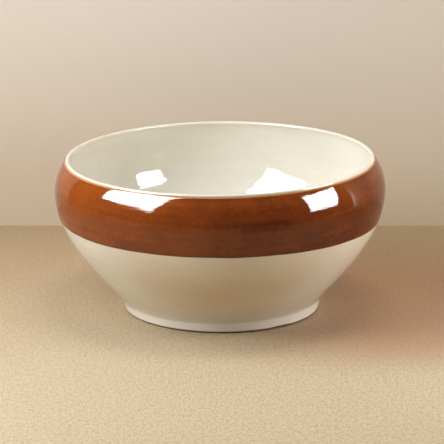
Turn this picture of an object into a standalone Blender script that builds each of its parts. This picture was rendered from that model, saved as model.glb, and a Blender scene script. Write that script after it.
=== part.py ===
"""Footed ceramic shaving bowl: a turned clay body on its foot ring, under four coats of glaze.

Metres, +Z up. The origin is on the bowl's axis, in the plane that the foot ring stands on.
Run it with: blender --background --python part.py
"""

import math

import bpy
from mathutils import Vector
from mathutils.geometry import interpolate_bezier

# The glazed bowl, outside
BELLY_RADIUS = 0.0750
BELLY_HEIGHT = 0.0551
HEIGHT = 0.0700
FOOT_RADIUS = 0.0455  # at the crease, where the wall meets the foot ring
FOOT_HEIGHT = 0.0049  # of the crease
FOOT_TAPER = 0.0009  # how much narrower the ring is where it stands

# The lip: an upright bead, rounded over the top
LIP_ROLL = 0.00085
LIP_RADIUS = 0.0699  # of its outer side
BAND_TOP = 0.0690  # where the bead ends and the brown band begins
BAND_BOTTOM = 0.0426  # where the brown band meets the cream coat

# The glazed bowl, inside
INNER_BELLY_RADIUS = 0.0713
INNER_BELLY_HEIGHT = 0.0546
WELL_RADIUS = 0.0460  # where the wall runs into the floor
WELL_EDGE_HEIGHT = 0.0131
WELL_HEIGHT = 0.0092

# The foot ring's clay
RING_INNER_RADIUS = 0.0403
RING_EASE = 0.0006  # the sponged bevel on both edges of its standing face
DRY_EDGE = 0.0009  # height of bare clay left below the glaze

# Thicknesses
GLAZE = 0.0003
GAP = 0.0003  # kept between any two pieces that touch
CLAY_UNDERSIDE = FOOT_HEIGHT + GLAZE + GAP

# How finely the outline and the turn are divided
TURN_STEPS = 48
LIP_STEPS = 5
SHOULDER_STEPS = 5
WALL_STEPS = 7
WELL_STEPS = 4
MERGE = 0.00001  # points closer than this are one point

CREAM = (0.80, 0.72, 0.58)
BROWN = (0.30, 0.09, 0.025)
CLAY = (0.74, 0.62, 0.47)


def clear_scene():
    for thing in list(bpy.data.objects):
        bpy.data.objects.remove(thing)


def material(name, colour, roughness):
    """A Principled material with that colour and roughness."""
    made = bpy.data.materials.new(name)
    made.use_nodes = True
    made.diffuse_color = (*colour, 1)
    shader = made.node_tree.nodes["Principled BSDF"]
    shader.inputs["Base Color"].default_value = (*colour, 1)
    shader.inputs["Roughness"].default_value = roughness
    shader.inputs["Metallic"].default_value = 0
    return made


def curve(start, start_handle, end_handle, end, steps):
    """A Bezier curve from start to end, as points (radius, height)."""
    corners = [Vector(corner) for corner in (start, start_handle, end_handle, end)]
    return [point.to_2d() for point in interpolate_bezier(*corners, steps + 1)]


def arc(centre, radius, first_angle, last_angle, steps):
    """An arc between two angles in degrees, as points (radius, height)."""
    turn = (last_angle - first_angle) / steps
    angles = [math.radians(first_angle + turn * step) for step in range(steps + 1)]
    return [Vector(centre) + radius * Vector((math.cos(angle), math.sin(angle))) for angle in angles]


def joined(*lines):
    """One line from several that meet end to end, with each shared point kept once."""
    whole = list(lines[0])
    for line in lines[1:]:
        whole += line[1:] if (line[0] - whole[-1]).length < MERGE else line
    return whole


def inset(line, depth):
    """The line moved to its right-hand side by that depth, with mitred corners."""
    sides = []
    for here, ahead in zip(line, line[1:]):
        along = (ahead - here).normalized()
        sides.append(Vector((along.y, -along.x)))
    moved = []
    for point, before, after in zip(line, sides[:1] + sides, sides + sides[-1:]):
        mitre = (before + after).normalized()
        on_axis = point.x < MERGE
        shift = Vector((0, -depth)) if on_axis else mitre * (depth / mitre.dot(after))
        moved.append(point + shift)
    return moved


def parted(line, height):
    """The two parts of the line, above and below the place where it falls through a height."""
    for place, (here, ahead) in enumerate(zip(line, line[1:])):
        if here.y > height >= ahead.y:
            cut = here.lerp(ahead, (here.y - height) / (here.y - ahead.y))
            return joined(line[: place + 1], [cut]), joined([cut], line[place + 1 :])
    raise ValueError("the line doesn't fall through that height")


def turned(name, outline, ring, finish, collection):
    """A solid turned from an outline that runs up its inner side and down its outer side.

    A ring's outline closes on itself; any other starts and ends on the axis.
    """
    edges = [(place, place + 1) for place in range(len(outline) - 1)]
    if ring:
        edges.append((len(outline) - 1, 0))
    mesh = bpy.data.meshes.new(name)
    mesh.from_pydata([(point.x, 0, point.y) for point in outline], edges, [])
    mesh.materials.append(finish)
    piece = bpy.data.objects.new(name, mesh)
    collection.objects.link(piece)
    turn = piece.modifiers.new("turn", "SCREW")
    turn.axis = "Z"
    turn.angle = math.radians(360)
    turn.steps = TURN_STEPS
    turn.render_steps = TURN_STEPS
    turn.use_merge_vertices = True
    turn.merge_threshold = MERGE
    turn.use_smooth_shade = True


def coat(line):
    """The outline of a coat of glaze whose outer face is that line."""
    return line + inset(line, GLAZE)[::-1]


def inner_line():
    """The floor and the inside of the wall, from the axis to the start of the lip."""
    well = curve(
        (0, WELL_HEIGHT),
        (0.0280, WELL_HEIGHT),
        (WELL_RADIUS - 0.0045, WELL_EDGE_HEIGHT - 0.0036),
        (WELL_RADIUS, WELL_EDGE_HEIGHT),
        WELL_STEPS,
    )
    wall = curve(
        (WELL_RADIUS, WELL_EDGE_HEIGHT),
        (WELL_RADIUS + 0.0140, WELL_EDGE_HEIGHT + 0.0112),
        (INNER_BELLY_RADIUS, INNER_BELLY_HEIGHT - 0.0140),
        (INNER_BELLY_RADIUS, INNER_BELLY_HEIGHT),
        WALL_STEPS,
    )
    lip_start = lip_line()[0]
    shoulder = curve(
        (INNER_BELLY_RADIUS, INNER_BELLY_HEIGHT),
        (INNER_BELLY_RADIUS, INNER_BELLY_HEIGHT + 0.0065),
        lip_start + Vector((0.0020, -0.0020)),
        lip_start,
        SHOULDER_STEPS,
    )
    return joined(well, wall, shoulder)


def lip_line():
    """The lip, from under its inner side, over the top, to where the bead ends outside."""
    roll = arc((LIP_RADIUS - LIP_ROLL, HEIGHT - LIP_ROLL), LIP_ROLL, 225, 0, LIP_STEPS)
    return joined(roll, [Vector((LIP_RADIUS, BAND_TOP))])


def outer_line():
    """The shoulder and the outside of the wall, from under the lip to the crease over the foot."""
    shoulder = curve(
        (LIP_RADIUS, BAND_TOP),
        (LIP_RADIUS + 0.0023, BAND_TOP - 0.0022),
        (BELLY_RADIUS, BELLY_HEIGHT + 0.0059),
        (BELLY_RADIUS, BELLY_HEIGHT),
        SHOULDER_STEPS,
    )
    wall = curve(
        (BELLY_RADIUS, BELLY_HEIGHT),
        (BELLY_RADIUS, BELLY_HEIGHT - 0.0233),
        (FOOT_RADIUS + 0.0026, FOOT_HEIGHT + 0.0056),
        (FOOT_RADIUS, FOOT_HEIGHT),
        WALL_STEPS,
    )
    return joined(shoulder, wall)


def make_clay_body(finish, collection):
    """The wall and floor in bare clay, under the glaze, with a flat underside."""
    surface = joined(inner_line(), lip_line(), outer_line())
    clay, _ = parted(inset(surface, GLAZE + GAP), CLAY_UNDERSIDE)
    turned("clay_body", clay + [Vector((0, CLAY_UNDERSIDE))], False, finish, collection)


def make_foot_ring(finish, collection):
    """The clay ring that the bowl stands on, with both edges of its standing face eased."""
    outer = FOOT_RADIUS - GLAZE - GAP
    stand = outer - FOOT_TAPER
    top = CLAY_UNDERSIDE - GAP
    corners = [
        (RING_INNER_RADIUS + RING_EASE, 0),
        (RING_INNER_RADIUS, RING_EASE),
        (RING_INNER_RADIUS, top),
        (outer, top),
        (stand, RING_EASE),
        (stand - RING_EASE, 0),
    ]
    turned("foot_ring", [Vector(corner) for corner in corners], True, finish, collection)


def make_liner_glaze(finish, collection):
    """The cream coat inside the bowl and over its lip."""
    surface = joined(inner_line(), lip_line())
    turned("liner_glaze", coat(surface), False, finish, collection)


def make_brown_band_glaze(finish, collection):
    """The brown coat round the shoulder and belly."""
    _, under_lip = parted(outer_line(), BAND_TOP - GAP)
    band, _ = parted(under_lip, BAND_BOTTOM + GAP / 2)
    turned("brown_band_glaze", coat(band), True, finish, collection)


def make_cream_wall_glaze(finish, collection):
    """The cream coat below the band, which runs on down the foot ring's outer side."""
    _, wall = parted(outer_line(), BAND_BOTTOM - GAP / 2)
    surface = joined(wall, [Vector((FOOT_RADIUS - FOOT_TAPER, DRY_EDGE))])
    turned("cream_wall_glaze", coat(surface), True, finish, collection)


def make_base_glaze(finish, collection):
    """The round coat on the underside, inside the foot ring."""
    edge = RING_INNER_RADIUS - GAP
    top = FOOT_HEIGHT + GLAZE
    corners = [(0, top), (edge, top), (edge, FOOT_HEIGHT), (0, FOOT_HEIGHT)]
    turned("base_glaze", [Vector(corner) for corner in corners], False, finish, collection)


def main():
    clear_scene()
    bowl = bpy.data.collections.new("shaving_bowl")
    bpy.context.scene.collection.children.link(bowl)
    clay = material("clay", CLAY, 0.80)
    cream = material("cream_glaze", CREAM, 0.12)
    brown = material("brown_glaze", BROWN, 0.08)
    make_clay_body(clay, bowl)
    make_foot_ring(clay, bowl)
    make_liner_glaze(cream, bowl)
    make_brown_band_glaze(brown, bowl)
    make_cream_wall_glaze(cream, bowl)
    make_base_glaze(cream, bowl)


main()
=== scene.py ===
import math

import bpy
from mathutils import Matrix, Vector
from mathutils.geometry import interpolate_bezier


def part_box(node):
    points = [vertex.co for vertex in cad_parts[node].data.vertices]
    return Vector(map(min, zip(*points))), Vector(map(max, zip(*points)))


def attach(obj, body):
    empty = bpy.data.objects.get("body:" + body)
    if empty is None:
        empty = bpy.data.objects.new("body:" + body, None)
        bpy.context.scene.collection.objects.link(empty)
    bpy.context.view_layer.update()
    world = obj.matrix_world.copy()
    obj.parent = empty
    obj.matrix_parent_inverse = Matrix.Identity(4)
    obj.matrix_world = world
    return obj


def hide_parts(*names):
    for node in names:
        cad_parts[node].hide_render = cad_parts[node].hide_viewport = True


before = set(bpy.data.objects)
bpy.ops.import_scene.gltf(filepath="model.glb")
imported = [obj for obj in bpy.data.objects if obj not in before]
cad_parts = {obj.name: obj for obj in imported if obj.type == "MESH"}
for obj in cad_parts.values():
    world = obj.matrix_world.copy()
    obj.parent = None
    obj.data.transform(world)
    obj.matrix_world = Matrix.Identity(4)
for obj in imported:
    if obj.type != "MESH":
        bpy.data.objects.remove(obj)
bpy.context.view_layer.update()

# ---------------------------------------------------------------- camera

CAMERA_LENS = 216.0  # mm, on Blender's 36 mm sensor
CAMERA_PLACE = Vector((0, -1.1699, 0.3589))
CAMERA_AIM = Vector((0.0002, 0, 0.0391))


def make_camera():
    data = bpy.data.cameras.new("camera")
    data.lens = CAMERA_LENS
    camera = bpy.data.objects.new("camera", data)
    camera.location = CAMERA_PLACE
    camera.rotation_euler = (CAMERA_AIM - CAMERA_PLACE).to_track_quat("-Z", "Y").to_euler()
    bpy.context.scene.collection.objects.link(camera)
    bpy.context.scene.camera = camera


make_camera()

# ---------------------------------------------------------------- sizes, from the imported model

liner_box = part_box("liner_glaze")
band_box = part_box("brown_band_glaze")
wall_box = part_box("cream_wall_glaze")
base_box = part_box("base_glaze")

GLAZE = base_box[1].z - base_box[0].z  # the thickness of every coat
HEIGHT = liner_box[1].z
SEAT = 0.00002  # the hairline left between a coat of glaze and the clay, or the coat beside it
SAME_POINT = SEAT / 10  # points closer than this are one point

# Outside
BELLY_RADIUS = band_box[1].x
BELLY_HEIGHT = 0.0551
SHOULDER_START = (0.0023, 0.0022)  # how far out and down the shoulder sets off from the lip
SHOULDER_FALL = 0.0059  # how steeply it comes down to the belly
WALL_FALL = 0.0233  # how steeply the wall leaves the belly
WALL_END = (0.0026, 0.0056)  # how far out and up the wall comes in from, at the crease
FOOT_RADIUS = 0.0455  # at the crease, where the wall meets the foot ring
FOOT_HEIGHT = base_box[0].z  # of the crease
FOOT_TAPER = 0.0009  # how much narrower the ring is where it stands

# The lip: an upright bead, rounded over the top
LIP_ROLL = 0.00085
LIP_RADIUS = 0.0699  # of its outer side
LIP_START_ANGLE = 225  # degrees, on the bead's inner side
BAND_TOP = 0.0690  # where the bead ends and the brown band begins
BAND_BOTTOM = (band_box[0].z + wall_box[1].z) / 2

# Inside
INNER_BELLY_RADIUS = liner_box[1].x - GLAZE
INNER_BELLY_HEIGHT = 0.0546
INNER_SHOULDER_RISE = 0.0065  # how steeply the wall leaves the belly upwards
INNER_SHOULDER_END = (0.0020, -0.0020)  # how far out and up the wall comes in from, at the lip
INNER_WALL_START = (0.0140, 0.0112)  # how far out and up the wall sets off from the well
INNER_WALL_RISE = 0.0140  # how steeply it comes up to the belly
WELL_RADIUS = 0.0460  # where the wall runs into the floor
WELL_EDGE_HEIGHT = 0.0131
WELL_HEIGHT = liner_box[0].z + GLAZE
WELL_FLAT = 0.0280  # how far out the floor sets off level
WELL_END = (0.0045, 0.0036)  # how far in and down the floor comes from, at its edge

# Underneath
RING_INNER_RADIUS = 0.0403
RING_EASE = 0.0006  # the rounding on both edges of the standing face
DRY_EDGE = wall_box[0].z  # height of bare clay left below the glaze
CLIMB_REACH = 0.0030  # how far from the ring the coat underneath begins to climb it
CLIMB_HANDLES = (0.0005, 0.0012)

# A coat's thick edge
TOP_BEAD = 0.00008
BOTTOM_BEAD = 0.00012
BEAD_NOSE = 0.00025
BEAD_TAIL = 0.0022

# How finely the outline and the turn are divided
TURN_STEPS = 256
LIP_STEPS = 20
SHOULDER_STEPS = 24
WALL_STEPS = 36
INNER_SHOULDER_STEPS = 16
INNER_WALL_STEPS = 28
WELL_STEPS = 16
EASE_STEPS = 6

LEAN = 0.0115  # how far the pot leans on its foot, as a slope

# ---------------------------------------------------------------- node helpers


class Field:
    """One output of a node. Arithmetic on it adds the Math nodes that work it out."""

    def __init__(self, nodes, socket):
        self.nodes = nodes
        self.socket = socket

    def __getitem__(self, name):
        """Another output of the same node."""
        return Field(self.nodes, self.socket.node.outputs[name])

    def __add__(self, other):
        return self.nodes.function("ADD", self, other)

    def __sub__(self, other):
        return self.nodes.function("SUBTRACT", self, other)

    def __mul__(self, other):
        return self.nodes.function("MULTIPLY", self, other)

    def __truediv__(self, other):
        return self.nodes.function("DIVIDE", self, other)

    def __rsub__(self, other):
        return self.nodes.function("SUBTRACT", other, self)

    def __rtruediv__(self, other):
        return self.nodes.function("DIVIDE", other, self)

    __radd__ = __add__
    __rmul__ = __mul__


class Nodes:
    """A node tree, and the one way in which nodes are added to it."""

    def __init__(self, tree):
        self.tree = tree

    def add(self, kind, settings=None, inputs=None):
        """A new node's first output, once its settings and then its inputs are given."""
        node = self.tree.nodes.new(kind)
        for name, value in (settings or {}).items():
            setattr(node, name, value)
        for name, value in (inputs or {}).items():
            if isinstance(value, Field):
                self.feed(node, name, value)
            else:
                node.inputs[name].default_value = value
        return Field(self, node.outputs[0]) if node.outputs else None

    def feed(self, node, name, value):
        """Links a value to an input of a node that is already there."""
        self.tree.links.new(value.socket, node.inputs[name])

    def function(self, operation, *values):
        return self.add("ShaderNodeMath", {"operation": operation}, dict(enumerate(values)))

    def parts(self, vector):
        """The first of a vector's three parts; each is found by its letter."""
        return self.add("ShaderNodeSeparateXYZ", None, {0: vector})

    def smooth(self, value, start, end, low=0.0, high=1.0):
        """From low to high as value goes from start to end, easing in and out."""
        return self.add(
            "ShaderNodeMapRange",
            {"interpolation_type": "SMOOTHSTEP"},
            {0: value, 1: start, 2: end, 3: low, 4: high},
        )

    def mix(self, share, first, second):
        """first where share is 0 and second where it is 1; both are colours."""
        return self.add("ShaderNodeMix", {"data_type": "RGBA"}, {0: share, 6: first, 7: second})[2]


def noise(nodes, where, scale, detail=2.0, stretch=None):
    """Noise from 0 to 1, in features 1/scale metres across; stretch multiplies each axis's scale."""
    if stretch:
        where = nodes.add("ShaderNodeMapping", None, {"Vector": where, "Scale": stretch})
    return nodes.add("ShaderNodeTexNoise", None, {"Vector": where, "Scale": scale, "Detail": detail})["Fac"]


# ---------------------------------------------------------------- outlines


def curve(start, start_handle, end_handle, end, steps):
    """A Bezier curve from start to end, as points (radius, height)."""
    corners = [Vector(corner) for corner in (start, start_handle, end_handle, end)]
    return [point.to_2d() for point in interpolate_bezier(*corners, steps + 1)]


def arc(centre, radius, first_angle, last_angle, steps):
    """An arc between two angles in degrees, as points (radius, height)."""
    turn = (last_angle - first_angle) / steps
    angles = [math.radians(first_angle + turn * step) for step in range(steps + 1)]
    return [Vector(centre) + radius * Vector((math.cos(angle), math.sin(angle))) for angle in angles]


def joined(*lines):
    """One line from several that meet end to end, with each shared point kept once."""
    whole = list(lines[0])
    for line in lines[1:]:
        whole += line[1:] if (line[0] - whole[-1]).length < SAME_POINT else line
    return whole


def moved(line, depths):
    """The line moved to its right-hand side by each point's depth, with mitred corners."""
    sides = []
    for here, ahead in zip(line, line[1:]):
        along = (ahead - here).normalized()
        sides.append(Vector((along.y, -along.x)))
    result = []
    for point, depth, before, after in zip(line, depths, sides[:1] + sides, sides + sides[-1:]):
        mitre = (before + after).normalized()
        on_axis = point.x < SEAT
        shift = Vector((0, -depth)) if on_axis else mitre * (depth / mitre.dot(after))
        result.append(point + shift)
    return result


def parted(line, height):
    """The two parts of the line, above and below the place where it falls through a height."""
    for place, (here, ahead) in enumerate(zip(line, line[1:])):
        if here.y > height >= ahead.y:
            cut = here.lerp(ahead, (here.y - height) / (here.y - ahead.y))
            return joined(line[: place + 1], [cut]), joined([cut], line[place + 1 :])
    raise ValueError("the line doesn't fall through that height")


def lengths(line):
    """The way along the line from its start to each point."""
    total = [0.0]
    for here, ahead in zip(line, line[1:]):
        total.append(total[-1] + (ahead - here).length)
    return total


def inside_line():
    """The floor and the inside of the wall, from the axis to the start of the lip."""
    well = curve(
        (0, WELL_HEIGHT),
        (WELL_FLAT, WELL_HEIGHT),
        (WELL_RADIUS - WELL_END[0], WELL_EDGE_HEIGHT - WELL_END[1]),
        (WELL_RADIUS, WELL_EDGE_HEIGHT),
        WELL_STEPS,
    )
    wall = curve(
        (WELL_RADIUS, WELL_EDGE_HEIGHT),
        (WELL_RADIUS + INNER_WALL_START[0], WELL_EDGE_HEIGHT + INNER_WALL_START[1]),
        (INNER_BELLY_RADIUS, INNER_BELLY_HEIGHT - INNER_WALL_RISE),
        (INNER_BELLY_RADIUS, INNER_BELLY_HEIGHT),
        INNER_WALL_STEPS,
    )
    lip_start = lip_line()[0]
    shoulder = curve(
        (INNER_BELLY_RADIUS, INNER_BELLY_HEIGHT),
        (INNER_BELLY_RADIUS, INNER_BELLY_HEIGHT + INNER_SHOULDER_RISE),
        lip_start + Vector(INNER_SHOULDER_END),
        lip_start,
        INNER_SHOULDER_STEPS,
    )
    return joined(well, wall, shoulder)


def lip_line():
    """The lip, from under its inner side, over the top, to where the bead ends outside."""
    roll = arc((LIP_RADIUS - LIP_ROLL, HEIGHT - LIP_ROLL), LIP_ROLL, LIP_START_ANGLE, 0, LIP_STEPS)
    return joined(roll, [Vector((LIP_RADIUS, BAND_TOP))])


def outside_line():
    """The shoulder and the outside of the wall, from under the lip to the crease over the foot."""
    shoulder = curve(
        (LIP_RADIUS, BAND_TOP),
        (LIP_RADIUS + SHOULDER_START[0], BAND_TOP - SHOULDER_START[1]),
        (BELLY_RADIUS, BELLY_HEIGHT + SHOULDER_FALL),
        (BELLY_RADIUS, BELLY_HEIGHT),
        SHOULDER_STEPS,
    )
    wall = curve(
        (BELLY_RADIUS, BELLY_HEIGHT),
        (BELLY_RADIUS, BELLY_HEIGHT - WALL_FALL),
        (FOOT_RADIUS + WALL_END[0], FOOT_HEIGHT + WALL_END[1]),
        (FOOT_RADIUS, FOOT_HEIGHT),
        WALL_STEPS,
    )
    return joined(shoulder, wall)


def ring_outline(top):
    """The foot ring's closed outline, with both edges of its standing face rounded."""
    outer = FOOT_RADIUS - GLAZE - SEAT
    stand = outer - FOOT_TAPER
    inner_edge = arc((RING_INNER_RADIUS + RING_EASE, RING_EASE), RING_EASE, 270, 180, EASE_STEPS)
    outer_edge = arc((stand - RING_EASE, RING_EASE), RING_EASE, 0, -90, EASE_STEPS)
    roof = [Vector((RING_INNER_RADIUS, top)), Vector((outer, top))]
    return inner_edge + roof + outer_edge + inner_edge[:1]


def base_outline():
    """The outline of the coat under the pot, which climbs a little where it meets the ring."""
    edge = RING_INNER_RADIUS - SEAT
    top = FOOT_HEIGHT + GLAZE
    climb = curve(
        (edge, FOOT_HEIGHT + GLAZE / 2),
        (edge - CLIMB_HANDLES[0], FOOT_HEIGHT),
        (edge - CLIMB_HANDLES[1], FOOT_HEIGHT),
        (edge - CLIMB_REACH, FOOT_HEIGHT),
        EASE_STEPS,
    )
    return [Vector((0, top)), Vector((edge, top))] + climb + [Vector((0, FOOT_HEIGHT))]


def bead_share(way):
    """The share of a bead's height, that far from the edge of the glaze."""
    if way < BEAD_NOSE:
        return math.sqrt(1 - (1 - way / BEAD_NOSE) ** 2)
    fall = min(1, (way - BEAD_NOSE) / BEAD_TAIL)
    return 1 - fall * fall * (3 - 2 * fall)


def coat(line, start_bead=0.0, end_bead=0.0):
    """The outline of a closed coat of glaze, with beads that stand that proud of the line at its ends."""
    way = lengths(line)
    proud = [start_bead * bead_share(here) + end_bead * bead_share(way[-1] - here) for here in way]
    face = moved(line, [-bead for bead in proud])
    back = moved(line, [GLAZE - SEAT] * len(line))
    outline = face + back[::-1]
    return outline if line[0].x < SEAT else outline + [outline[0]]


# ---------------------------------------------------------------- turning, by Geometry Nodes

THROWN_HEIGHT = "thrown height"  # the attribute that holds each point's height before the pot leaned
SHARP_ANGLE = math.radians(40)
WAVER_SCALE, WAVER_DETAIL = 4.0, 3.0  # of the glaze line's raggedness round the pot
NICK_CORE = 0.3  # the share of the nick's width that is at its full depth

TURN_INPUTS = {
    "Segments": ("NodeSocketInt", TURN_STEPS),
    "Lean": ("NodeSocketFloat", LEAN),
    "Lean Height": ("NodeSocketFloat", FOOT_HEIGHT),
    "Line Height": ("NodeSocketFloat", BAND_BOTTOM),
    "Line Spread": ("NodeSocketFloat", 0.0120),
    "Line Slope": ("NodeSocketFloat", 0.38),
    "Line Tilt X": ("NodeSocketFloat", -LEAN),
    "Line Tilt Y": ("NodeSocketFloat", -0.0040),
    "Line Wobble": ("NodeSocketFloat", 0.0009),
    "Out Of Round": ("NodeSocketFloat", 0.0008),
    "Nick Angle": ("NodeSocketFloat", math.radians(-53)),
    "Nick Half Width": ("NodeSocketFloat", math.radians(9)),
    "Nick Depth": ("NodeSocketFloat", 0.0004),
    "Nick Reach": ("NodeSocketFloat", 0.0020),
    "Seed": ("NodeSocketFloat", 3.0),
    "Material": ("NodeSocketMaterial", None),
}


def turning_tree():
    """Turns an outline about the axis, and gives the pot the unevenness of a hand-finished one."""
    tree = bpy.data.node_groups.new("turned by hand", "GeometryNodeTree")
    tree.interface.new_socket("Outline", in_out="INPUT", socket_type="NodeSocketGeometry")
    for name, (kind, _) in TURN_INPUTS.items():
        tree.interface.new_socket(name, in_out="INPUT", socket_type=kind)
    tree.interface.new_socket("Piece", in_out="OUTPUT", socket_type="NodeSocketGeometry")
    nodes = Nodes(tree)
    given = nodes.add("NodeGroupInput")

    outline = given["Outline"]
    rows = nodes.add("GeometryNodeAttributeDomainSize", {"component": "MESH"}, {"Geometry": outline})
    columns = given["Segments"] + 1
    sizes = {"Vertices X": rows["Point Count"], "Vertices Y": columns}
    grid = nodes.add("GeometryNodeMeshGrid", None, sizes)
    index = nodes.add("GeometryNodeInputIndex")
    row = nodes.function("FLOOR", index / columns)
    angle = (index - row * columns) * (math.tau / given["Segments"])
    outline_point = nodes.add(
        "GeometryNodeSampleIndex",
        {"data_type": "FLOAT_VECTOR"},
        {"Geometry": outline, "Value": nodes.add("GeometryNodeInputPosition"), "Index": row},
    )
    thrown = nodes.parts(outline_point)
    height = thrown["Z"]
    across, along = nodes.function("COSINE", angle), nodes.function("SINE", angle)

    around = nodes.add("ShaderNodeCombineXYZ", None, {0: across, 1: along, 2: given["Seed"]})
    waver = noise(nodes, around, WAVER_SCALE, WAVER_DETAIL) - 0.5
    tilted = (given["Line Tilt X"] * across + given["Line Tilt Y"] * along) * thrown["X"]
    from_line = nodes.function("ABSOLUTE", height - given["Line Height"])
    near_line = nodes.smooth(from_line, 0.0, given["Line Spread"], 1.0, 0.0)
    slide = near_line * (tilted + given["Line Wobble"] * waver)

    from_nick = nodes.function("ARCCOSINE", nodes.function("COSINE", angle - given["Nick Angle"]))
    nicked = nodes.smooth(from_nick / given["Nick Half Width"], NICK_CORE, 1.0, 1.0, 0.0)
    nick = nicked * nodes.smooth(height, 0.0, given["Nick Reach"], 1.0, 0.0) * given["Nick Depth"]

    oval = 1 + given["Out Of Round"] * nodes.function("COSINE", angle * 2 + given["Seed"])
    radius = (thrown["X"] + slide * given["Line Slope"]) * oval
    lean = given["Lean"] * nodes.smooth(height, 0.0, given["Lean Height"])
    position = nodes.add(
        "ShaderNodeCombineXYZ",
        None,
        {
            0: radius * across - height * lean,
            1: radius * along,
            2: height + slide + nick + radius * across * lean,
        },
    )
    shaped = nodes.add("GeometryNodeSetPosition", None, {"Geometry": grid["Mesh"], "Position": position})
    marked = nodes.add(
        "GeometryNodeStoreNamedAttribute",
        {"data_type": "FLOAT"},
        {"Geometry": shaped, "Name": THROWN_HEIGHT, "Value": height},
    )
    closed = nodes.add("GeometryNodeMergeByDistance", None, {"Geometry": marked, "Distance": SAME_POINT})
    smooth = nodes.add("GeometryNodeSetShadeSmooth", None, {"Geometry": closed})
    real = nodes.add("GeometryNodeRealizeInstances", None, {"Geometry": smooth})
    painted = nodes.add("GeometryNodeSetMaterial", None, {"Geometry": real, "Material": given["Material"]})
    nodes.add("NodeGroupOutput", None, {"Piece": painted})
    return tree


def turned(name, outline, finish, tree):
    """A piece turned from an outline that runs up its inner side and down its outer side."""
    mesh = bpy.data.meshes.new(name + " outline")
    edges = [(place, place + 1) for place in range(len(outline) - 1)]
    mesh.from_pydata([(point.x, 0, point.y) for point in outline], edges, [])
    former = bpy.data.objects.new(name + " outline", mesh)
    bpy.context.scene.collection.objects.link(former)
    modifier = former.modifiers.new("turn", "NODES")
    modifier.node_group = tree
    for socket in tree.interface.items_tree:
        if socket.name in TURN_INPUTS:
            given = TURN_INPUTS[socket.name][1]
            modifier[socket.identifier] = finish if socket.name == "Material" else given
    depsgraph = bpy.context.evaluated_depsgraph_get()
    made = bpy.data.meshes.new_from_object(former.evaluated_get(depsgraph))
    made.name = name
    made.set_sharp_from_angle(angle=SHARP_ANGLE)
    bpy.data.objects.remove(former)
    piece = bpy.data.objects.new(name, made)
    bpy.context.scene.collection.objects.link(piece)
    return piece


# ---------------------------------------------------------------- finishes

CREAM_PALE = (0.79, 0.765, 0.68, 1)
CREAM_WARM = (0.765, 0.725, 0.625, 1)
# painted light: the pale tone that the lit foot ring is painted with
CREAM_PAINTED_LIGHT = (0.97, 0.945, 0.87, 1)
# painted shade low on the front, and the thin glaze with painted contact shade at the dry edge
CREAM_THIN_AND_SHADE = (0.65, 0.50, 0.345, 1)
IRON = (0.16, 0.075, 0.03, 1)
PEACH = (0.74, 0.50, 0.30, 1)
GOLD = (0.56, 0.25, 0.085, 1)
HONEY = (0.355, 0.080, 0.0110, 1)
AMBER = (0.112, 0.023, 0.0055, 1)
TREACLE = (0.075, 0.016, 0.005, 1)
CLAY_PALE = (0.66, 0.54, 0.40, 1)
CLAY_DARK = (0.52, 0.40, 0.28, 1)
GROG = (0.36, 0.26, 0.17, 1)
# painted contact shade, darkest at the standing face
CONTACT_SHADE = (0.10, 0.045, 0.018, 1)

CREAM_ROUGHNESS, CREAM_INDEX = (0.03, 0.07), 1.52  # smoothest and roughest, and refractive index
BROWN_ROUGHNESS, BROWN_INDEX = (0.03, 0.06), 1.43
CLAY_ROUGHNESS = 0.85

THROWING_DEPTH = 0.00010  # of the level lines that throwing leaves
CREAM_GRAIN_DEPTH = 0.000006
BROWN_GRAIN_DEPTH = 0.000008
CLAY_GRAIN_DEPTH = 0.00008
PINHOLE_DEPTH = 0.00005
PINHOLE_RADIUS = 0.00016
CREAM_SPECK_RADIUS = 0.00022
BROWN_SPECK_RADIUS = 0.00020
GROG_RADIUS = 0.00030

FRONT_SHADE_SIDE = (-0.066, -0.040)  # along Y, where the painted warm shade on the cream is deepest and where that ends
FRONT_SHADE_LOW = (0.018, 0.044)  # the same for its height
SHADED_SIDE = (-0.050, 0.030)  # along X, where painted shade on the brown begins and where it is deepest
BAND_SHADE_HEIGHTS = (0.0530, 0.0665)  # the heights between which painted shade on the brown fades out upwards
THIN_BROWN = (BAND_TOP - 0.0006, BAND_TOP - 0.0002)  # the heights over which it wears to gold at the lip


def new_finish(name):
    """A material, its nodes, its shader and its Object coordinates."""
    material = bpy.data.materials.new(name)
    material.use_nodes = True
    nodes = Nodes(material.node_tree)
    shader = material.node_tree.nodes["Principled BSDF"]
    where = nodes.add("ShaderNodeTexCoord")["Object"]
    return material, nodes, shader, where


def spots(nodes, where, scale, radius):
    """1 in scattered round spots of up to that radius, and 0 outside them."""
    cell = nodes.add("ShaderNodeTexVoronoi", None, {"Vector": where, "Scale": scale})["Distance"]
    return nodes.smooth(cell / scale, radius * 0.4, radius, 1.0, 0.0)


def thrown_height(nodes):
    return nodes.add("ShaderNodeAttribute", {"attribute_name": THROWN_HEIGHT})["Fac"]


def emboss(nodes, shader, *layers):
    """Bumps fed to the shader, from pairs of a height from 0 to 1 and its depth in metres."""
    normal = None
    for height, depth in layers:
        inputs = {"Height": height, "Distance": depth}
        if normal:
            inputs["Normal"] = normal
        normal = nodes.add("ShaderNodeBump", None, inputs)
    nodes.feed(shader, "Normal", normal)


def gloss(nodes, shader, cloud, roughness, index):
    """A fired gloss, a little duller in patches."""
    nodes.feed(shader, "Roughness", nodes.smooth(cloud, 0.35, 0.7, *roughness))
    shader.inputs["IOR"].default_value = index


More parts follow.
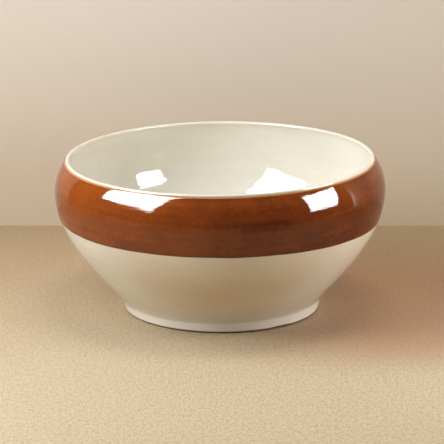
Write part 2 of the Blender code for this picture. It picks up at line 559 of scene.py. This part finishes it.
def outside_tones(nodes, place, height, cloud, colour):
    """The cream painted paler on the ring as painted light, warmer low on one side as painted warm shade, and
    warmest at the dry edge, where it is thin and painted contact shade darkens it.
    """
    on_wall = nodes.smooth(height, FOOT_HEIGHT - 0.0004, FOOT_HEIGHT + 0.0002)
    # painted light: the ring, and the wall a little, painted paler as if lit
    colour = nodes.mix(1 - on_wall * 0.7, colour, CREAM_PAINTED_LIGHT)
    # painted shade: warm shade painted low on one side of the cream
    front_shade = nodes.smooth(place["Y"] + (cloud - 0.5) * 0.01, *FRONT_SHADE_SIDE, 0.9, 0.0)
    front_shade_low = nodes.smooth(height, *FRONT_SHADE_LOW, 1.0, 0.3)
    colour = nodes.mix(front_shade * front_shade_low * on_wall, colour, CREAM_THIN_AND_SHADE)
    # painted contact shade at the dry edge, where the glaze is also thin
    shaded_thin_edge = nodes.smooth(height + (cloud - 0.5) * 0.001, DRY_EDGE, DRY_EDGE + 0.0004, 0.6, 0.0)
    return nodes.mix(shaded_thin_edge, colour, CREAM_THIN_AND_SHADE)


def lip_stain(nodes, place, height, colour):
    """The cream stained by the brown below it, on the outer side of the lip's bead."""
    across = place["X"] + LEAN * HEIGHT
    outer_side = (LIP_RADIUS - 0.0006) ** 2, (LIP_RADIUS - 0.0002) ** 2
    on_bead = nodes.smooth(across * across + place["Y"] * place["Y"], *outer_side)
    stained = nodes.smooth(height, BAND_TOP + 0.0001, BAND_TOP + 0.0007, 0.85, 0.0)
    stained = stained * nodes.smooth(height, BAND_TOP - 0.0005, BAND_TOP - 0.0003)
    return nodes.mix(on_bead * stained, colour, PEACH)


def cream_finish(name, outside):
    material, nodes, shader, where = new_finish(name)
    place, height = nodes.parts(where), thrown_height(nodes)
    cloud = noise(nodes, where, 45, 3)
    level = noise(nodes, where, 70, 3, (0.3, 0.3, 5))
    grain = noise(nodes, where, 520, 2)
    share = nodes.smooth(cloud * 0.5 + level * 0.25 + grain * 0.25, 0.40, 0.62)
    colour = nodes.mix(share, CREAM_PALE, CREAM_WARM)
    if outside:
        colour = outside_tones(nodes, place, height, cloud, colour)
    else:
        colour = lip_stain(nodes, place, height, colour)
    specks = spots(nodes, where, 190, CREAM_SPECK_RADIUS)
    nodes.feed(shader, "Base Color", nodes.mix(specks * 0.55, colour, IRON))
    gloss(nodes, shader, cloud, CREAM_ROUGHNESS, CREAM_INDEX)
    pinholes = 1 - spots(nodes, where, 140, PINHOLE_RADIUS)
    emboss(nodes, shader, (level, THROWING_DEPTH), (grain, CREAM_GRAIN_DEPTH), (pinholes, PINHOLE_DEPTH))
    return material


def brown_finish():
    """Honey, darker in random mottling, where it has pooled at its lower edge and just under the lip, and
    with painted shade low on the band and on one side; gold at the lip.
    """
    material, nodes, shader, where = new_finish("brown glaze")
    across, height = nodes.parts(where)["X"], thrown_height(nodes)
    cloud = noise(nodes, where, 55, 4)
    level = noise(nodes, where, 75, 4, (0.45, 0.45, 6))
    grain = noise(nodes, where, 600, 3)
    mottle = nodes.smooth(cloud * 0.45 + level * 0.30 + grain * 0.25, 0.38, 0.64)
    # painted shade: the brown darker low on the band, lighter towards the top
    low_shade = nodes.smooth(height + (cloud - 0.5) * 0.008, *BAND_SHADE_HEIGHTS, 1.0, 0.0)
    # painted shade: the brown darker on its right side, away from the key light
    side_shade = nodes.smooth(across + (cloud - 0.5) * 0.02, *SHADED_SIDE)
    colour = nodes.mix(mottle * 0.40 + low_shade * 0.30 + side_shade * 0.42, HONEY, AMBER)
    ragged = (noise(nodes, where, 260, 2) - 0.5) * 0.0009
    pool = nodes.smooth(height + ragged, BAND_BOTTOM + 0.0002, BAND_BOTTOM + 0.0014, 0.35, 0.0)
    under_lip = nodes.smooth(height + ragged * 0.5, BAND_TOP - 0.0016, BAND_TOP - 0.0008, 0.0, 0.2)
    colour = nodes.mix(pool + under_lip, colour, TREACLE)
    colour = nodes.mix(nodes.smooth(height + ragged * 0.3, *THIN_BROWN, 0.0, 0.8), colour, GOLD)
    specks = spots(nodes, where, 260, BROWN_SPECK_RADIUS)
    nodes.feed(shader, "Base Color", nodes.mix(specks * 0.7, colour, TREACLE))
    gloss(nodes, shader, cloud, BROWN_ROUGHNESS, BROWN_INDEX)
    pinholes = 1 - spots(nodes, where, 170, PINHOLE_RADIUS)
    emboss(nodes, shader, (level, THROWING_DEPTH), (grain, BROWN_GRAIN_DEPTH), (pinholes, PINHOLE_DEPTH))
    return material


def clay_finish():
    """Bare clay with grog in it, darkened towards the standing face with painted contact shade."""
    material, nodes, shader, where = new_finish("bare clay")
    cloud = noise(nodes, where, 120, 3)
    grain = noise(nodes, where, 1400, 3)
    colour = nodes.mix(nodes.smooth(cloud * 0.5 + grain * 0.5, 0.38, 0.62), CLAY_PALE, CLAY_DARK)
    colour = nodes.mix(spots(nodes, where, 420, GROG_RADIUS) * 0.8, colour, GROG)
    low = thrown_height(nodes) + (cloud - 0.5) * 0.0006
    # painted contact shade: the clay darkened towards the standing face
    contact_shade = nodes.smooth(low, 0.0002, DRY_EDGE, 0.95, 0.5)
    nodes.feed(shader, "Base Color", nodes.mix(contact_shade, colour, CONTACT_SHADE))
    shader.inputs["Roughness"].default_value = CLAY_ROUGHNESS
    emboss(nodes, shader, (grain, CLAY_GRAIN_DEPTH))
    return material


# ---------------------------------------------------------------- the bowl


def place_piece(piece, node):
    """Hands over a piece that rides on the bowl's one body and stands in for that CAD node."""
    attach(piece, "root")
    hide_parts(node)


def make_bowl():
    tree = turning_tree()
    cream, cream_liner = cream_finish("cream glaze", True), cream_finish("cream liner glaze", False)
    brown, clay = brown_finish(), clay_finish()
    inside, lip, outside = inside_line(), lip_line(), outside_line()

    surface = joined(inside, lip, outside)
    underside = FOOT_HEIGHT + GLAZE + SEAT
    clay_line, _ = parted(moved(surface, [GLAZE + SEAT] * len(surface)), underside)
    body = turned("body_clay", clay_line + [Vector((0, underside))], clay, tree)
    place_piece(body, "clay_body")

    ring = turned("foot_ring_clay", ring_outline(underside - SEAT), clay, tree)
    place_piece(ring, "foot_ring")

    liner = turned("liner", coat(joined(inside, lip)), cream_liner, tree)
    place_piece(liner, "liner_glaze")

    band, lower = parted(outside, BAND_BOTTOM)
    brown_band = turned("brown_band", coat(band, TOP_BEAD, BOTTOM_BEAD), brown, tree)
    place_piece(brown_band, "brown_band_glaze")

    foot = joined(lower, [Vector((FOOT_RADIUS - FOOT_TAPER, DRY_EDGE))])
    cream_wall = turned("cream_wall", coat(foot), cream, tree)
    place_piece(cream_wall, "cream_wall_glaze")

    base = turned("base_coat", base_outline(), cream, tree)
    place_piece(base, "base_glaze")


make_bowl()

# ---------------------------------------------------------------- stage and light

BACKDROP_PLACE = 0.136
BACKDROP_LEFT = 0.28
STAGE_REACH = 3.0
STAGE_ROUGHNESS = 0.9
CLOTH_NEAR = (0.565, 0.455, 0.275, 1)
CLOTH_FAR_SHADED = (0.38, 0.268, 0.148, 1)
# painted shadow: the bowl's warm shadow on the cloth
CLOTH_SHADOW = (0.37, 0.175, 0.072, 1)
CLOTH_THREAD = (0.21, 0.135, 0.065, 1)
CLOTH_DEPTH = 0.0002  # of its grain
CLOTH_SHADE_FADE = (-0.20, 0.13)  # along Y, from the near tone to the far one, which is darkened with painted shade
SHADOW_START = (-0.02, 0.08)  # along X, where the painted shadow of the bowl on the cloth comes in
SHADOW_FRONT = (-0.11, -0.05)  # the same along Y
SHADOW_BACK = (0.02, 0.12)  # and where it goes out
PAPER_TOP = (0.83, 0.75, 0.645, 1)
PAPER_SHADED_BOTTOM = (0.67, 0.56, 0.405, 1)
PAPER_FADE = (-0.02, 0.13)  # the heights from the bottom tone, darkened with painted shade, to the top one
BOWL_MIDDLE = Vector((0, 0, 0.035))
ROOM_COLOUR = (1, 0.98, 0.96, 1)
ROOM_STRENGTH = 0.06
DAYLIGHT = (1, 1, 1)
COOL_LIGHT = (0.98, 1, 1.05)
WARM_LIGHT = (1, 0.92, 0.76)
SHINE = (0.97, 0.98, 1)
LAMPS = (  # name, place, width in metres, watts, colour
    ("key", (-0.70, -0.27, 0.46), 0.34, 1.6, DAYLIGHT),
    ("front key", (-0.60, -0.35, 0.55), 0.30, 2.05, COOL_LIGHT),
    ("low key", (-0.45, -0.40, 0.42), 0.30, 0.40, DAYLIGHT),
    ("near key", (-0.170, -0.100, 0.212), 0.15, 0.13, COOL_LIGHT),
    ("left rim", (-0.55, 0.08, 0.50), 0.30, 1.35, DAYLIGHT),
    ("right rim", (0.80, 0.02, 0.15), 0.25, 2.1, DAYLIGHT),
    ("near fill", (0.192, -0.086, 0.130), 0.085, 0.12, WARM_LIGHT),
    ("overhead", (0.10, 0.05, 0.90), 0.40, 3.75, DAYLIGHT),
)
SOFTBOXES = (  # name, the two ends of the lower edge, degrees of lean over the bowl, height, watts
    ("left softbox", (-0.235, -0.040, 0.128), (-0.169, -0.186, 0.128), 33, 0.170, 2.7),
    ("right softbox", (0.183, -0.131, 0.088), (0.226, -0.059, 0.088), 43, 0.090, 0.85),
)


def plane(name, corners, finish):
    mesh = bpy.data.meshes.new(name)
    mesh.from_pydata(corners, [], [range(len(corners))])
    mesh.materials.append(finish)
    thing = bpy.data.objects.new(name, mesh)
    bpy.context.scene.collection.objects.link(thing)


def one_sided(material, nodes, shader):
    """Makes the finish clear where it is looked at from behind."""
    clear = nodes.add("ShaderNodeBsdfTransparent")
    behind = nodes.add("ShaderNodeNewGeometry")["Backfacing"]
    front = Field(nodes, shader.outputs[0])
    both = nodes.add("ShaderNodeMixShader", None, {0: behind, 1: front, 2: clear})
    nodes.feed(material.node_tree.nodes["Material Output"], "Surface", both)


def floor_finish():
    material, nodes, shader, where = new_finish("floor cloth")
    place = nodes.parts(where)
    grain = noise(nodes, where, 1250, 2, (1, 0.6, 1)) * 0.7 + noise(nodes, where, 620, 2, (1, 0.5, 1)) * 0.3
    # painted shade: the cloth darker towards the backdrop
    cloth = nodes.mix(nodes.smooth(place["Y"], *CLOTH_SHADE_FADE), CLOTH_NEAR, CLOTH_FAR_SHADED)
    # painted shadow: the bowl's warm shadow painted on the cloth to its right
    shadow = nodes.smooth(place["X"], *SHADOW_START) * nodes.smooth(place["Y"], *SHADOW_FRONT)
    shadow = shadow * nodes.smooth(place["Y"], *SHADOW_BACK, 0.8, 0.0)
    cloth = nodes.mix(shadow, cloth, CLOTH_SHADOW)
    colour = nodes.mix(nodes.smooth(grain, 0.36, 0.70, 0.0, 0.55), cloth, CLOTH_THREAD)
    nodes.feed(shader, "Base Color", colour)
    shader.inputs["Roughness"].default_value = STAGE_ROUGHNESS
    emboss(nodes, shader, (grain, CLOTH_DEPTH))
    one_sided(material, nodes, shader)
    return material


def backdrop_finish():
    """Plain paper, darker with painted shade towards the floor."""
    material, nodes, shader, where = new_finish("backdrop paper")
    fibre = (noise(nodes, where, 700, 3) - 0.5) * 0.012
    # painted shade: the paper darker towards the floor
    share = nodes.smooth(nodes.parts(where)["Z"] + fibre, *PAPER_FADE)
    nodes.feed(shader, "Base Color", nodes.mix(share, PAPER_SHADED_BOTTOM, PAPER_TOP))
    shader.inputs["Roughness"].default_value = STAGE_ROUGHNESS
    one_sided(material, nodes, shader)
    return material


def make_stage():
    far, back, left = STAGE_REACH, BACKDROP_PLACE, -BACKDROP_LEFT
    plane("floor", [(-far, -far, 0), (far, -far, 0), (far, far, 0), (-far, far, 0)], floor_finish())
    paper = [(left, back, 0), (far, back, 0), (far, back, far), (left, back, far)]
    plane("backdrop", paper, backdrop_finish())


def area_light(name, place, facing, width, height, power, colour):
    data = bpy.data.lights.new(name, "AREA")
    data.shape = "RECTANGLE"
    data.size = width
    data.size_y = height
    data.energy = power
    data.color = colour
    light = bpy.data.objects.new(name, data)
    light.location = place
    light.rotation_euler = facing.to_track_quat("-Z", "Y").to_euler()
    light.visible_camera = False
    bpy.context.scene.collection.objects.link(light)
    return light


def softbox(name, low_left, low_right, lean, height, power):
    """A softbox that only glaze reflects, whose lower edge runs between two points, leaning over the bowl."""
    low_left, low_right = Vector(low_left), Vector(low_right)
    along = (low_right - low_left).normalized()
    inwards = Vector((0, 0, 1)).cross(along)
    if inwards.dot(low_left) > 0:
        inwards = -inwards
    upwards = inwards * math.sin(lean) + Vector((0, 0, math.cos(lean)))
    centre = (low_left + low_right) / 2 + upwards * height / 2
    facing = along.cross(upwards)
    if facing.dot(centre) > 0:
        facing = -facing
    width = (low_right - low_left).length
    area_light(name, centre, facing, width, height, power, SHINE).visible_diffuse = False


def make_light():
    """Softboxes that show in the glaze, lamps that light everything and don't, and the room's own light."""
    for name, low_left, low_right, lean, height, power in SOFTBOXES:
        softbox(name, low_left, low_right, math.radians(lean), height, power)
    for name, place, size, power, colour in LAMPS:
        place = Vector(place)
        area_light(name, place, BOWL_MIDDLE - place, size, size, power, colour).visible_glossy = False
    world = bpy.data.worlds.new("room")
    world.use_nodes = True
    background = world.node_tree.nodes["Background"]
    background.inputs["Color"].default_value = ROOM_COLOUR
    background.inputs["Strength"].default_value = ROOM_STRENGTH
    bpy.context.scene.world = world
    bpy.context.scene.view_settings.view_transform = "Standard"


make_stage()
make_light()
